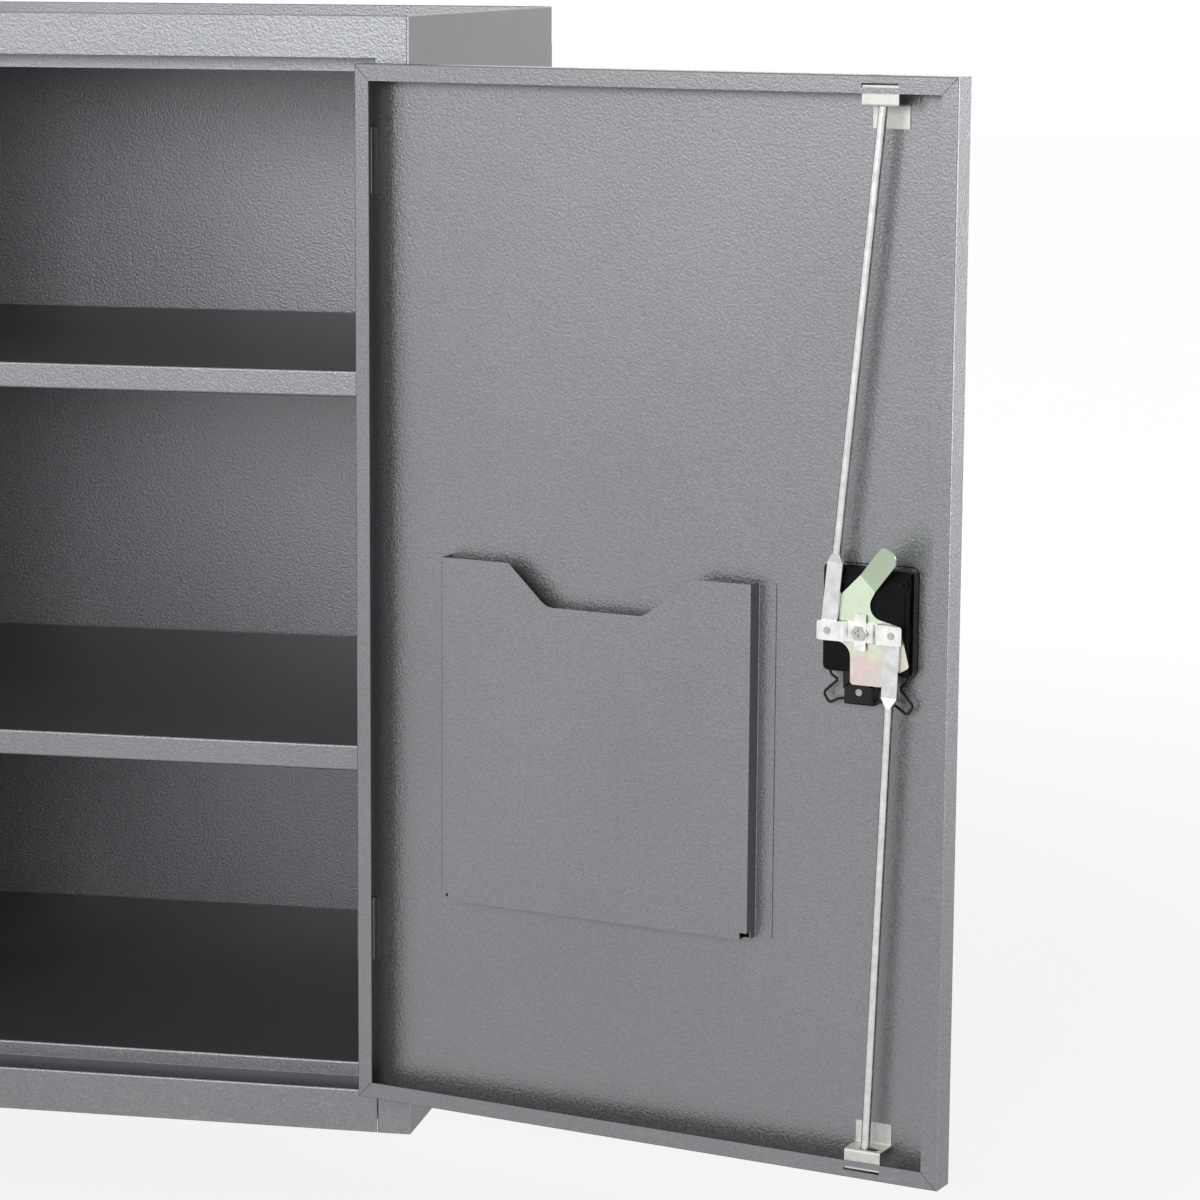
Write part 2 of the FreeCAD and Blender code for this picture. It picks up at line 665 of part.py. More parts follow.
def lock_housing():
    """Dish that stands into the cabinet, with a flat bezel on the outside of the door."""
    outline = frame_outline(-DISH_LEFT, DISH_WIDE, -DISH_DROP, DISH_HIGH)
    dish = lock_plate(outline, [DISH_CORNER] * len(outline), -BEZEL, DISH_DEEP)
    floor = FRONT + DISH_DEEP - MIN_EDGE
    dish = dish.makeChamfer(DISH_EDGE, [e for e in dish.Edges if e.BoundBox.YMin > floor])
    flange = frame_outline(-BEZEL_LEFT, BEZEL_WIDE, -BEZEL_DROP, BEZEL_HIGH)
    bezel = lock_plate(flange, [BEZEL_CORNER] * len(flange), -BEZEL, 0)
    rim = FRONT - BEZEL + MIN_EDGE
    bezel = bezel.makeChamfer(BEZEL_EDGE, [e for e in bezel.Edges if e.BoundBox.YMax < rim])
    w = DISH_WALL
    inner = frame_outline(w - DISH_LEFT, DISH_WIDE - 2 * w, w - DISH_DROP, DISH_HIGH - 2 * w)
    hollow = lock_plate(inner, [DISH_CORNER - w] * len(inner), -BEZEL - OVERRUN, DISH_DEEP - w)
    body = fuse([dish, bezel] + housing_details()).cut(hollow)
    u, z = CYLINDER_AT
    holes = [lock_disc(0, 0, 0, DISH_DEEP + OVERRUN, SPINDLE_R + SPINDLE_PLAY),
             lock_disc(POST_U, POST_Z, DISH_DEEP, DISH_DEEP + OVERRUN, POST_HOLE_R),
             housing_recess(),
             lock_disc(u, z, -BEZEL - OVERRUN, OVERRUN, CYLINDER_R + CYLINDER_PLAY)]
    return body.cut(Part.makeCompound(holes))


def housing_recess():
    """Shallow panel let into the back of the dish beside the ridges."""
    u1 = DISH_WIDE - DISH_LEFT - DISH_EDGE - RIDGE_INSETS[-1]
    d0, d1 = DISH_DEEP - RECESS_DEEP, DISH_DEEP + OVERRUN
    return lock_box(u1 - RECESS_WIDE, u1, d0, d1, RIDGE_RISE - RECESS_HIGH, RIDGE_RISE)


def housing_details():
    """Small hollow post and raised ridges on the back of the dish."""
    floor, top = DISH_DEEP - DISH_WALL, DISH_DEEP + RIDGE_TALL
    details = [lock_disc(POST_U, POST_Z, floor, DISH_DEEP + POST_TALL, POST_R)]
    u1 = DISH_WIDE - DISH_LEFT - DISH_EDGE
    z0, z1 = DISH_CORNER - DISH_DROP, RIDGE_RISE
    for inset in RIDGE_INSETS:
        details.append(lock_box(u1 - inset, u1 - inset + RIDGE_WIDE, floor, top, z0, z1))
    details.append(lock_box(u1 - RIDGE_LONG, u1, floor, top, z1, z1 + RIDGE_WIDE))
    return details


def lock_cylinder():
    u, z = CYLINDER_AT
    bore = PLUG_R + PLUG_PLAY
    front = -BEZEL - CYLINDER_FACE
    steps = ((bore, 0), (CYLINDER_R, 0), (CYLINDER_R, GAUGE - front), (bore, GAUGE - front))
    return lock_turned(u, z, front, steps)


def lock_block():
    """Block behind the cylinder with an arched top and a wide neck up to the dish."""
    u, z = CYLINDER_AT
    half_u, half_z = BLOCK_WIDE / 2, BLOCK_HIGH / 2
    top = z + half_z
    outline = ((u - half_u, z - half_z), (u + half_u, z - half_z), (u + half_u, top),
               (u + half_u - ARCH_RUN, top + ARCH_RISE),
               (u - half_u + ARCH_RUN, top + ARCH_RISE), (u - half_u, top))
    rounds = (0, 0, 0, ARCH_ROUND, ARCH_ROUND, 0)
    block = lock_plate(outline, rounds, GAUGE, BLOCK_DEEP)
    far = FRONT + BLOCK_DEEP - MIN_EDGE
    block = block.makeChamfer(BLOCK_EDGE, [e for e in block.Edges if e.BoundBox.YMin > far])
    half = NECK_WIDE / 2
    neck = lock_box(u - half, u + half, GAUGE, NECK_DEEP, top - ARCH_RISE, -DISH_DROP - WIRE_SEAT)
    return fuse([block, neck])


def block_pin():
    u, z = BLOCK_PIN_AT
    r, high, edge = BLOCK_PIN_R, BLOCK_PIN_PROUD, BLOCK_PIN_EDGE
    return lock_turned(u, z, BLOCK_DEEP, ((0, 0), (r, 0), (r - edge, high), (0, high)))


def cylinder_plug():
    u, z = CYLINDER_AT
    front = -BEZEL - CYLINDER_FACE - PLUG_PROUD
    plug = lock_disc(u, z, front, GAUGE - PLUG_SHY, PLUG_R)
    half_w, half_l = KEY_SLOT_WIDE / 2, KEY_SLOT_LONG / 2
    slot = lock_box(u - half_w, u + half_w, front - OVERRUN, front + KEY_SLOT_DEEP, z - half_l, z + half_l)
    return plug.cut(slot)


def wire_spine(points):
    """Line through the points with each corner eased by two small turns."""
    line = points[:1]
    for before, here, after in zip(points, points[1:], points[2:]):
        line.append(here + (before - here).normalize() * WIRE_BEND)
        line.append(here + (after - here).normalize() * WIRE_BEND)
    return Part.makePolygon(line + points[-1:])


def wire_clip():
    """Bent spring wire on both sides of the block, from the dish to the block."""
    top, half = -DISH_DROP - WIRE_SEAT, BLOCK_WIDE / 2 + WIRE_SEAT
    wires = []
    for path, side in ((WIRE_LEFT, -half), (WIRE_RIGHT, half)):
        whole = ((path[0][0], top),) + path + ((CYLINDER_AT[0] + side, path[-1][1]),)
        points = [lock_point(u, WIRE_DEEP, z) for u, z in whole]
        ring = regular_ring(points[0], V(1, 0, 0), V(0, 1, 0), WIRE_R, WIRE_SIDES)
        wires.append(wire_spine(points).makePipeShell([ring], True, False, 1))
    return Part.makeCompound(wires)


# Turning lock parts

def turn_handle():
    """Bar handle in the dish with the spindle that carries the cam and the rocker."""
    half, side, end = HANDLE_LONG / 2, HANDLE_WIDE / 2, HANDLE_END_R
    outline = ((-half, -end), (0, -side), (half, -end), (half, end), (0, side), (-half, end))
    rounds = (end - BEND, side, end - BEND, end - BEND, side, end - BEND)
    bar = lock_plate(outline, rounds, HANDLE_FACE, HANDLE_DEEP)
    near = FRONT + HANDLE_FACE + MIN_EDGE
    bar = bar.makeChamfer(HANDLE_EDGE, [e for e in bar.Edges if e.BoundBox.YMax < near])
    stem = lock_disc(0, 0, HANDLE_DEEP, CAM_DEEP, SPINDLE_R)
    nose = lock_disc(0, 0, CAM_DEEP, TAB_DEEP, SPINDLE_NOSE_R)
    return fuse([bar, stem, nose])


def cam_plate():
    """Flat cam with a sloping side finger."""
    angle = math.radians(FINGER_ANGLE)
    across, along = FINGER_HALF * math.sin(angle), FINGER_HALF * math.cos(angle)
    u, z = FINGER_ROOT
    outline = ((u + across, z - along), (u - across, z + along)) + CAM_OUTLINE
    flat = lock_plate(outline, (0, 0) + CAM_ROUNDS, CAM_DEEP, CAM_DEEP + CAM_GAUGE)
    cam = fuse([flat, cam_finger()])
    return cam.cut(lock_disc(0, 0, 0, DOOR_DEEP, SPINDLE_NOSE_R + SPINDLE_SEAT))


def cam_finger():
    """Finger that rises from the bend line to reach behind the keeper."""
    slope = math.radians(FINGER_SLOPE)
    long = FINGER_LONG / math.cos(slope)
    half, tip = FINGER_HALF, FINGER_HALF - BEND
    points = [V(-x, 0, z) for x, z in ((0, -half), (long, -half), (long, half), (0, half))]
    finger = plate(points, (0, tip, tip, 0), V(0, CAM_GAUGE, 0))
    finger.rotate(V(0, 0, 0), UP, -FINGER_SLOPE)
    finger.rotate(V(0, 0, 0), V(0, 1, 0), FINGER_ANGLE)
    finger.translate(lock_point(FINGER_ROOT[0], CAM_DEEP, FINGER_ROOT[1]))
    return finger


def rocker_bar():
    """Bar that lies on the cam at its middle and rises over the rods at both ears."""
    reach = EAR_ARM + ROCKER_END
    rise = ROCKER_BEND_AT + ROCKER_RISE_RUN
    low, high = ROCKER_DEEP, EAR_DEEP
    line = ((-reach, high), (-rise, high), (-ROCKER_BEND_AT, low), (ROCKER_BEND_AT, low),
            (rise, high), (reach, high))
    bar = folded(line, ROCKER_GAUGE, BEND, lambda u, d: lock_point(u, d, -ROCKER_HALF), UP * 2 * ROCKER_HALF)
    trim = frame_outline(-reach, 2 * reach, -ROCKER_HALF, 2 * ROCKER_HALF)
    bar = bar.common(lock_plate(trim, [ROCKER_CORNER] * len(trim), 0, DOOR_DEEP))
    holes = [lock_disc(u, 0, 0, DOOR_DEEP, RIVET_R + SPINDLE_SEAT) for u in (-EAR_ARM, EAR_ARM)]
    holes.append(lock_disc(0, 0, 0, DOOR_DEEP, SPINDLE_NOSE_R + SPINDLE_SEAT))
    return bar.cut(Part.makeCompound(holes))


def cross_tab():
    outline = frame_outline(-TAB_HALF_WIDE, 2 * TAB_HALF_WIDE, -TAB_HALF_HIGH, 2 * TAB_HALF_HIGH)
    return lock_plate(outline, [TAB_ROUND] * len(outline), TAB_DEEP, SCREW_DEEP)


def centre_screw():
    """Six-sided head with a cross recess."""
    ring = regular_ring(lock_point(0, SCREW_DEEP, 0), V(1, 0, 0), UP, SCREW_R, SCREW_SIDES)
    head = Part.Face(ring).extrude(V(0, SCREW_HIGH, 0))
    half, long = SCREW_CROSS / 2, SCREW_CROSS_LONG / 2
    d0, d1 = SCREW_DEEP + SCREW_HIGH - SCREW_CROSS_DEEP, SCREW_DEEP + SCREW_HIGH + OVERRUN
    cross = [lock_box(-half, half, d0, d1, -long, long), lock_box(-long, long, d0, d1, -half, half)]
    return head.cut(fuse(cross))


def ear_rivets():
    """Eyelet rivets that carry the rods on the rocker."""
    foot, seat = FLAT_DEEP - RIVET_FOOT, EAR_DEEP + ROCKER_GAUGE
    base, top = seat - foot, seat - foot + RIVET_HEAD
    steps = ((0, 0), (RIVET_R, 0), (RIVET_R, base), (RIVET_HEAD_R, base), (RIVET_HEAD_R - RIVET_EDGE, top),
             (0, top))
    return Part.makeCompound([lock_turned(u, 0, foot, steps) for u in (-EAR_ARM, EAR_ARM)])


# Rods

def rod_flare(start, way, side):
    """Ruled change from the flat section to the round one."""
    deep = V(0, 1, 0)
    signs = ((1, 1), (1, -1), (-1, -1), (-1, 1))
    half, thin, reach = ROD_FLAT_WIDE / 2, ROD_FLAT / 2, ROD_R * DIAGONAL_SHARE
    flat = [start + side * (half * s) + deep * (thin * t) for s, t in signs]
    end = start + way * ROD_TAPER
    ring = [end + side * (reach * s) + deep * (reach * t) for s, t in signs]
    bulge = [end + side * (ROD_R * s) + deep * (ROD_R * t) for s, t in ((1, 0), (0, -1), (-1, 0), (0, 1))]
    arcs = []
    for i in range(len(ring)):
        arcs.append(Part.Arc(ring[i - 1], bulge[i - 1], ring[i]).toShape())
    return Part.makeLoft([Part.makePolygon(flat[-1:] + flat), Part.Wire(arcs)], True, True)


def lock_rod(ear_u, end_u, end_z, flat_long):
    """Round rod, flattened at the ear, built along its own line in the plane of the door."""
    ear = lock_point(ear_u, ROD_DEEP, 0)
    end = door_point(end_u, ROD_DEEP, end_z)
    way = (end - ear).normalize()
    side = way.cross(V(0, 1, 0)).normalize()
    half = ROD_FLAT_WIDE / 2
    base = ear - V(0, ROD_FLAT / 2, 0)
    corners = [base - way * half - side * half, base - way * half + side * half,
               base + way * flat_long + side * half, base + way * flat_long - side * half]
    flat = plate(corners, (half - MIN_EDGE, half - MIN_EDGE, 0, 0), V(0, ROD_FLAT, 0))
    start = ear + way * flat_long
    long = (end - start).Length
    steps = ((0, ROD_TAPER), (ROD_R, ROD_TAPER), (ROD_R, long - ROD_NOSE),
             (ROD_R - ROD_NOSE, long), (0, long))
    rod = fuse([flat, rod_flare(start, way, side), turned(start, way, side, steps)])
    return rod.cut(Part.makeCylinder(RIVET_R + RIVET_PLAY, DOOR_DEEP, lock_point(ear_u, 0, 0), V(0, 1, 0)))


def upper_rod():
    far = DOOR_HIGH - ROD_SHY
    lean = (GUIDE_U - PIVOT_U + EAR_ARM) / (GUIDE_UPPER_Z - PIVOT_Z)
    return lock_rod(-EAR_ARM, PIVOT_U - EAR_ARM + lean * (far - PIVOT_Z), far, UPPER_FLAT_LONG)


def lower_rod():
    far = ROD_SHY
    lean = (PIVOT_U + EAR_ARM - GUIDE_U) / (PIVOT_Z - GUIDE_DROP)
    return lock_rod(EAR_ARM, PIVOT_U + EAR_ARM - lean * (PIVOT_Z - far), far, LOWER_FLAT_LONG)


def fixed_nodes():
    upper_leaf, lower_leaf = post_leaves()[1], post_leaves()[0]
    side = side_panel()
    return {
        "right_side_panel": side,
        "left_side_panel": mirrored(side),
        "back_panel": back_panel(),
        "top_tray": top_tray(),
        "head_rail": head_rail(),
        "base_rail": base_rail(),
        "floor_pan": floor_pan(),
        "base_gussets": base_gussets(),
        "lower_shelf": shelf(SHELF_TOPS[0]),
        "upper_shelf": shelf(SHELF_TOPS[1]),
        "shelf_clips": shelf_clips(),
        "side_keeper": side_keeper(),
        "upper_post_leaf": upper_leaf,
        "lower_post_leaf": lower_leaf,
        "hinge_pins": hinge_pins(),
    }


def door_nodes():
    lower_leaf, upper_leaf = door_leaves()
    return {
        "door_pan": door_pan(),
        "upper_door_leaf": upper_leaf,
        "lower_door_leaf": lower_leaf,
        "hinge_backings": hinge_backings(),
        "document_pocket": document_pocket(),
        "pocket_welds": pocket_welds(),
        "upper_rod_guide": rod_guide(GUIDE_UPPER_Z, 1, -ROD_HOLE_DRIFT),
        "lower_rod_guide": rod_guide(GUIDE_DROP, -1, ROD_HOLE_DRIFT),
        "lock_housing": lock_housing(),
        "lock_cylinder": lock_cylinder(),
        "lock_block": lock_block(),
        "block_pin": block_pin(),
        "wire_clip": wire_clip(),
        "turn_handle": turn_handle(),
        "cam_plate": cam_plate(),
        "rocker_bar": rocker_bar(),
        "cross_tab": cross_tab(),
        "centre_screw": centre_screw(),
        "ear_rivets": ear_rivets(),
        "upper_rod": upper_rod(),
        "lower_rod": lower_rod(),
        "cylinder_plug": cylinder_plug(),
    }


os.makedirs("parts", exist_ok=True)
for node, shape in fixed_nodes().items():
    shape.exportStep("parts/" + node + ".step")
for node, shape in door_nodes().items():
    swing(shape).exportStep("parts/" + node + ".step")
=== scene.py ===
import json
import math
import bpy
from mathutils import Matrix, Vector

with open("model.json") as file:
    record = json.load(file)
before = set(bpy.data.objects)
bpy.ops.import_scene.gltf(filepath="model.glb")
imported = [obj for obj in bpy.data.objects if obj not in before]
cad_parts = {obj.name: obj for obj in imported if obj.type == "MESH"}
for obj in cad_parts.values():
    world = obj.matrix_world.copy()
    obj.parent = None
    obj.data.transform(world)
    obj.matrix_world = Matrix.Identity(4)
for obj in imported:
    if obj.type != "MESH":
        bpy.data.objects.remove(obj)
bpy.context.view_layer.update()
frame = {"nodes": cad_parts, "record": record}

NODES = frame["nodes"]
RECORD = frame["record"]
scene = bpy.context.scene


# Node helpers

NOISE_MIN, NOISE_MAX = 0.3, 0.7
BUMP_STRENGTH = 0.3


class Tree:
    """A node tree with short calls for the nodes that the world, the floor and the finishes share."""

    def __init__(self, tree):
        self.tree = tree

    def add(self, kind, **settings):
        node = self.tree.nodes.new(kind)
        for key, value in settings.items():
            setattr(node, key, value)
        return node

    def link(self, out, into):
        self.tree.links.new(out, into)

    def join(self, operation, first, second):
        node = self.add("ShaderNodeMath", operation=operation)
        self.link(first, node.inputs[0])
        self.link(second, node.inputs[1])
        return node.outputs["Value"]

    def spread(self, fac, low, high, start=NOISE_MIN, end=NOISE_MAX):
        """Goes from low to high as fac goes from start to end."""
        node = self.add("ShaderNodeMapRange")
        for key, value in (("From Min", start), ("From Max", end), ("To Min", low), ("To Max", high)):
            node.inputs[key].default_value = value
        self.link(fac, node.inputs["Value"])
        return node.outputs["Result"]

    def seen(self, low, high):
        """High for camera, glossy and transmitted rays, and low for all others."""
        path = self.add("ShaderNodeLightPath")
        last = path.outputs["Is Camera Ray"]
        for name in ("Is Glossy Ray", "Is Transmission Ray"):
            last = self.join("MAXIMUM", last, path.outputs[name])
        return self.spread(last, low, high, 0.0, 1.0)


class Mat(Tree):
    """A material with plain values on its shader's sockets and textures laid out in metres."""

    def __init__(self, name, values):
        self.mat = bpy.data.materials.new(name)
        self.mat.use_nodes = True
        super().__init__(self.mat.node_tree)
        self.shader = self.tree.nodes["Principled BSDF"]
        self.place = self.add("ShaderNodeTexCoord").outputs["Object"]
        for socket, value in values.items():
            self.shader.inputs[socket].default_value = value

    def drive(self, socket, out):
        self.link(out, self.shader.inputs[socket])

    def height(self):
        split = self.add("ShaderNodeSeparateXYZ")
        self.link(self.place, split.inputs["Vector"])
        return split.outputs["Z"]

    def noise(self, scale, detail=3.0, rough=0.5, stretch=None):
        node = self.add("ShaderNodeTexNoise")
        node.inputs["Scale"].default_value = scale
        node.inputs["Detail"].default_value = detail
        node.inputs["Roughness"].default_value = rough
        source = self.place
        if stretch:
            mapping = self.add("ShaderNodeMapping")
            mapping.inputs["Scale"].default_value = stretch
            self.link(source, mapping.inputs["Vector"])
            source = mapping.outputs["Vector"]
        self.link(source, node.inputs["Vector"])
        return node.outputs["Fac"]

    def ramp(self, fac, stops):
        """Colours over fac; a stop is a place and a colour, or a place and one grey value."""
        node = self.add("ShaderNodeValToRGB")
        band = node.color_ramp
        while len(band.elements) < len(stops):
            band.elements.new(0.5)
        for element, (at, colour) in zip(band.elements, stops):
            element.position = at
            element.color = (*colour, 1.0) if isinstance(colour, tuple) else (colour, colour, colour, 1.0)
        self.link(fac, node.inputs["Fac"])
        return node.outputs["Color"]

    def bump(self, fac, distance, strength=BUMP_STRENGTH, under=None):
        node = self.add("ShaderNodeBump")
        node.inputs["Distance"].default_value = distance
        node.inputs["Strength"].default_value = strength
        self.link(fac, node.inputs["Height"])
        if under is not None:
            self.link(under, node.inputs["Normal"])
        return node.outputs["Normal"]

    def times(self, first, second):
        node = self.add("ShaderNodeMix", data_type="RGBA", blend_type="MULTIPLY")
        node.inputs["Factor"].default_value = 1.0
        self.link(first, node.inputs["A"])
        self.link(second, node.inputs["B"])
        return node.outputs["Result"]

    def blend(self, fac, under, colour):
        node = self.add("ShaderNodeMix", data_type="RGBA")
        self.link(fac, node.inputs["Factor"])
        self.link(under, node.inputs["A"])
        node.inputs["B"].default_value = colour
        return node.outputs["Result"]


# Powder coat, with colours as linear values and heights and depths in metres

COAT_SHEEN = {"Metallic": 0.72, "Specular IOR Level": 0.3, "Specular Tint": (0.3, 0.3, 0.3, 1.0)}
COAT_ROUGH = (0.29, 0.40)
CLOUD_SCALE = 4.0
CLOUD_STOPS = ((0.30, (0.275, 0.280, 0.291)), (0.70, (0.300, 0.305, 0.317)))
PEEL_SCALE = 470.0
PEEL_STOPS = ((0.34, 0.93), (0.50, 1.0), (0.68, 1.06))
PEEL_DEPTH = 0.0006
PEEL_STRENGTH = 0.58
GRAIN_SCALE = 1100.0
GRAIN_STOPS = ((0.36, 0.94), (0.64, 1.05))
GRAIN_DEPTH = 0.00012
SCUFF_COLOUR = (0.42, 0.42, 0.42, 1.0)
SCUFF_SCALE = 60.0
SCUFF_STRETCH = (1.0, 1.0, 3.0)
SCUFF_EDGE = (0.58, 0.70)
SCUFF_MOST = 0.5
SCUFF_TOP = 0.12


def scuffs(m):
    """Sparse rubbed marks that fade out above the lowest part of the cabinet."""
    low = m.spread(m.height(), SCUFF_MOST, 0.0, 0.0, SCUFF_TOP)
    rubbed = m.noise(SCUFF_SCALE, detail=4.0, rough=0.6, stretch=SCUFF_STRETCH)
    marks = m.spread(rubbed, 0.0, 1.0, *SCUFF_EDGE)
    return m.join("MULTIPLY", low, marks)


def powder_coat():
    """Metallic grey coat: orange peel, light and dark flecks, faint clouding and scuffs low down."""
    m = Mat("powder_coat", COAT_SHEEN)
    peel = m.noise(PEEL_SCALE, detail=2.0)
    grain = m.noise(GRAIN_SCALE, detail=2.0)
    clouded = m.ramp(m.noise(CLOUD_SCALE, detail=4.0), CLOUD_STOPS)
    flecked = m.times(clouded, m.ramp(peel, PEEL_STOPS))
    speckled = m.times(flecked, m.ramp(grain, GRAIN_STOPS))
    m.drive("Base Color", m.blend(scuffs(m), speckled, SCUFF_COLOUR))
    m.drive("Roughness", m.spread(peel, *COAT_ROUGH))
    m.drive("Normal", m.bump(peel, PEEL_DEPTH, PEEL_STRENGTH, m.bump(grain, GRAIN_DEPTH)))
    return m.mat


# Plated metal

PATCH_SCALE = 120.0
PATCH_SHADE_SHARE = 0.82
DRAWN_SCALE = 260.0
DRAWN_STRETCH = (1.0, 1.0, 0.06)
DRAWN_DEPTH = 0.00006

CAM_METALLIC = 0.9
CAM_LOW, CAM_HIGH = 0.465, 0.575
CAM_DRIFT_LOW, CAM_DRIFT_HIGH = 0.62, 0.16
CAM_NOISE_SCALE = 70.0
CAM_NOISE_REACH = 0.16
CAM_STOPS = ((0.12, (0.62, 0.77, 0.57)), (0.34, (0.66, 0.76, 0.59)), (0.48, (0.70, 0.69, 0.58)),
             (0.60, (0.72, 0.58, 0.58)), (0.76, (0.60, 0.66, 0.60)))
CAM_GRAIN_SCALE = 420.0
CAM_GRAIN_DEPTH = 0.00005
CAM_ROUGH = (0.28, 0.44)


def plated(name, tone, metallic, rough):
    """Plated steel with soft patches and fine drawn lines along its length."""
    m = Mat(name, {"Metallic": metallic})
    patch = m.noise(PATCH_SCALE)
    shade = tuple(PATCH_SHADE_SHARE * c for c in tone)
    m.drive("Base Color", m.ramp(patch, ((NOISE_MIN, shade), (NOISE_MAX, tone))))
    m.drive("Roughness", m.spread(patch, *rough))
    drawn = m.noise(DRAWN_SCALE, detail=2.0, stretch=DRAWN_STRETCH)
    m.drive("Normal", m.bump(drawn, DRAWN_DEPTH))
    return m.mat


def yellow_zinc():
    """Pale passivated zinc that drifts from green at the top of the cam to pink lower down."""
    m = Mat("yellow_zinc", {"Metallic": CAM_METALLIC})
    fall = m.spread(m.height(), CAM_DRIFT_LOW, CAM_DRIFT_HIGH, CAM_LOW, CAM_HIGH)
    stray = m.spread(m.noise(CAM_NOISE_SCALE, rough=0.6), -CAM_NOISE_REACH, CAM_NOISE_REACH)
    grain = m.noise(CAM_GRAIN_SCALE)
    m.drive("Base Color", m.ramp(m.join("ADD", fall, stray), CAM_STOPS))
    m.drive("Roughness", m.spread(grain, *CAM_ROUGH))
    m.drive("Normal", m.bump(grain, CAM_GRAIN_DEPTH))
    return m.mat


# Black and white pieces

DUST_SCALE = 90.0
DUST_MIN, DUST_MAX = 0.35, 0.75
MOULD_SCALE = 700.0
PLASTIC_SCALE = 300.0
PLASTIC_STOPS = ((0.3, 0.72), (0.7, 0.84))
PLASTIC_ROUGH_SCALE = 800.0
PLASTIC_ROUGH = (0.35, 0.5)


def dark_part(name, tones, specular, rough, depth):
    """Black moulded or enamelled piece with faint dust and handling marks."""
    m = Mat(name, {"Specular IOR Level": specular})
    dust = m.noise(DUST_SCALE, detail=4.0)
    clean, dusty = tones
    m.drive("Base Color", m.ramp(dust, ((DUST_MIN, clean), (DUST_MAX, dusty))))
    m.drive("Roughness", m.spread(dust, *rough))
    m.drive("Normal", m.bump(m.noise(MOULD_SCALE, detail=2.0), depth))
    return m.mat


def white_plastic():
    """White pin with a slight change of tone and gloss."""
    m = Mat("white_plastic", {})
    m.drive("Base Color", m.ramp(m.noise(PLASTIC_SCALE), PLASTIC_STOPS))
    m.drive("Roughness", m.spread(m.noise(PLASTIC_ROUGH_SCALE), *PLASTIC_ROUGH))
    return m.mat


# Finish of each node, by its slot in the record, or by name where it differs from the slot

SATIN = plated("satin_nickel", tone=(0.56, 0.55, 0.53), metallic=1.0, rough=(0.20, 0.32))
PALE = plated("pale_zinc", tone=(0.76, 0.76, 0.725), metallic=0.7, rough=(0.46, 0.60))
BRIGHT = plated("bright_zinc", tone=(0.90, 0.905, 0.89), metallic=1.0, rough=(0.26, 0.38))
GLOSS = dark_part("black_gloss", tones=(0.003, 0.006), specular=0.35, rough=(0.08, 0.16), depth=0.00003)
WIRE = dark_part("black_wire", tones=(0.010, 0.020), specular=0.35, rough=(0.22, 0.36), depth=0.00004)
MATTE = dark_part("black_matte", tones=(0.005, 0.010), specular=0.1, rough=(0.36, 0.48), depth=0.00008)

BY_SLOT = {
    "powder_coat": powder_coat(),
    "zinc": plated("zinc", tone=(0.73, 0.735, 0.735), metallic=1.0, rough=(0.24, 0.38)),
    "satin_nickel": SATIN,
    "yellow_zinc": yellow_zinc(),
    "black_gloss": GLOSS,
    "black_wire": WIRE,
    "white_plastic": white_plastic(),
}
BY_NAME = {"upper_rod_guide": PALE, "lower_rod_guide": PALE, "cross_tab": BRIGHT, "rocker_bar": BRIGHT,
           "centre_screw": SATIN, "ear_rivets": SATIN}

slots = {row["node"]: row["material_slot"] for row in RECORD["subparts"]}
for name, obj in NODES.items():
    obj.data.materials.clear()
    obj.data.materials.append(BY_NAME.get(name) or BY_SLOT[slots[name]])


# Matte flats of the lock housing, which face into the cabinet along the handle's axis

FLAT_COSINE = 0.995


def matte_flats(name, normal):
    """Matte finish on the flats that face one way; the other faces keep their gloss."""
    mesh = NODES[name].data
    mesh.materials.append(MATTE)
    for face in mesh.polygons:
        if face.normal.dot(normal) > FLAT_COSINE:
            face.material_index = 1


axes = {joint["name"]: Vector(joint["axis"]) for joint in RECORD["behaviour"]["joints"]}
matte_flats("lock_housing", -axes["handle_turn"])


# Floor and light, in metres and watts

WHITE = (1.0, 1.0, 1.0, 1.0)
FLOOR_SIZE = 40
FLOOR_SHEEN = {"Roughness": 0.7, "Specular IOR Level": 0.0}
FLOOR_SCALE = 0.8
FLOOR_STOPS = ((0.3, 0.12), (0.7, 0.14))
GLOW_NEAR, GLOW_FAR = 0.84, 0.98
GLOW_START, GLOW_END = 1.0, 3.5
SKY_LIGHT = 0.08


def floor():
    """Pale floor that shows the shadow near the object and fades to white farther out."""
    bpy.ops.mesh.primitive_plane_add(size=FLOOR_SIZE, location=(0, 0, 0))
    plane = bpy.context.object
    plane.name = "studio_floor"
    m = Mat("studio_floor", FLOOR_SHEEN)
    reach = m.add("ShaderNodeVectorMath", operation="LENGTH")
    m.link(m.place, reach.inputs[0])
    m.drive("Base Color", m.ramp(m.noise(FLOOR_SCALE), FLOOR_STOPS))
    m.drive("Emission Color", m.spread(reach.outputs["Value"], GLOW_NEAR, GLOW_FAR, GLOW_START, GLOW_END))
    m.drive("Emission Strength", m.seen(0.0, 1.0))
    plane.data.materials.append(m.mat)


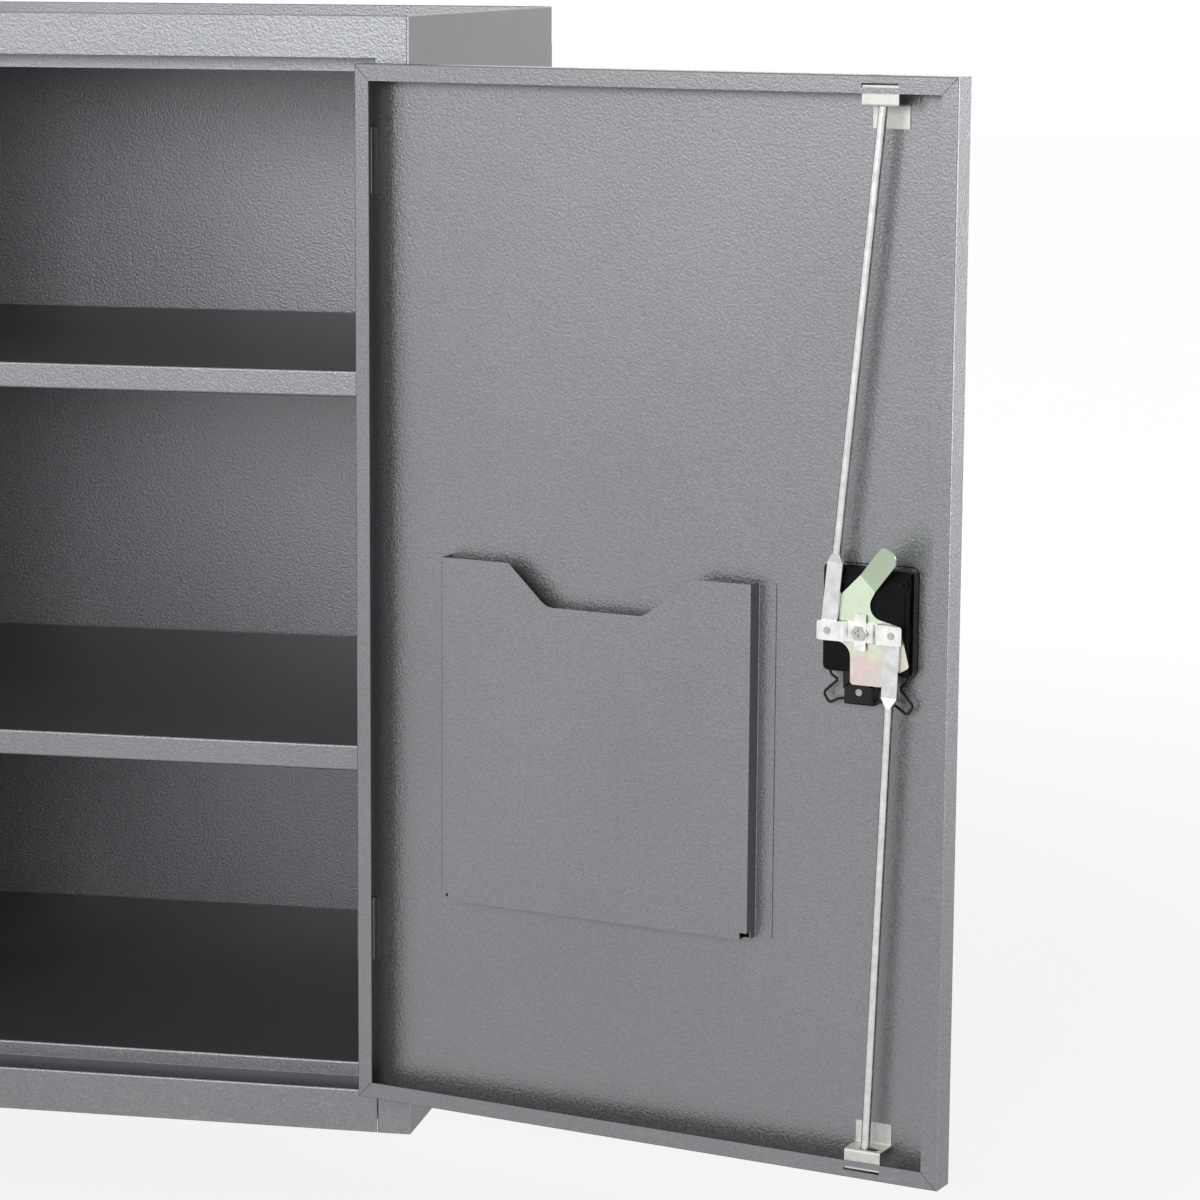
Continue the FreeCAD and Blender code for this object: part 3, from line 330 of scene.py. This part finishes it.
def sky():
    """World that is seen as white and adds little light."""
    world = bpy.data.worlds.new("studio")
    scene.world = world
    world.use_nodes = True
    tree = Tree(world.node_tree)
    back = world.node_tree.nodes["Background"]
    back.inputs["Color"].default_value = WHITE
    tree.link(tree.seen(SKY_LIGHT, 1.0), back.inputs["Strength"])


def lamp(name, place, aim, size, watts):
    data = bpy.data.lights.new(name, "AREA")
    data.shape = "RECTANGLE"
    data.size, data.size_y = size
    data.energy = watts
    obj = bpy.data.objects.new(name, data)
    scene.collection.objects.link(obj)
    obj.location = place
    obj.rotation_euler = (Vector(aim) - Vector(place)).to_track_quat("-Z", "Y").to_euler()


floor()
sky()
lamp("key", place=(-1.7, -3.0, 1.6), aim=(0.4, -0.35, 0.8), size=(0.7, 0.7), watts=13)
lamp("front", place=(-0.1, -4.4, 1.9), aim=(0.1, -0.1, 0.85), size=(1.6, 1.6), watts=60)
lamp("right", place=(3.7, 0.5, 1.1), aim=(0.5, -0.2, 0.6), size=(2.4, 2.0), watts=90)
lamp("left", place=(-4.0, 0.4, 1.6), aim=(0, 0, 0.5), size=(2.2, 2.0), watts=26)
lamp("back", place=(-0.3, 4.2, 1.7), aim=(0, 0.3, 0.5), size=(2.6, 2.2), watts=50)


# Camera at the viewing angle of the photograph, with angles in degrees

TILT, ROLL, TURN = 9.4129, 0.3525, -11.1987
EYE = (1.1655, -3.6936, 1.0767)
SENSOR_WIDTH = 36.0
FOCAL_PIXELS = 3941.4
FRAME_PIXELS = 1200.0
CLIP_END = 100.0


def turned(degrees, axis):
    return Matrix.Rotation(math.radians(degrees), 3, axis)


def camera():
    data = bpy.data.cameras.new("camera")
    data.sensor_width = SENSOR_WIDTH
    data.lens = SENSOR_WIDTH * FOCAL_PIXELS / FRAME_PIXELS
    data.clip_end = CLIP_END
    obj = bpy.data.objects.new("camera", data)
    scene.collection.objects.link(obj)
    right, ahead, up = turned(ROLL, "Y") @ turned(TILT, "X") @ turned(TURN, "Z")
    pose = Matrix((right, up, -ahead)).transposed().to_4x4()
    pose.translation = EYE
    obj.matrix_world = pose
    scene.camera = obj


camera()
scene.view_settings.view_transform = "Standard"
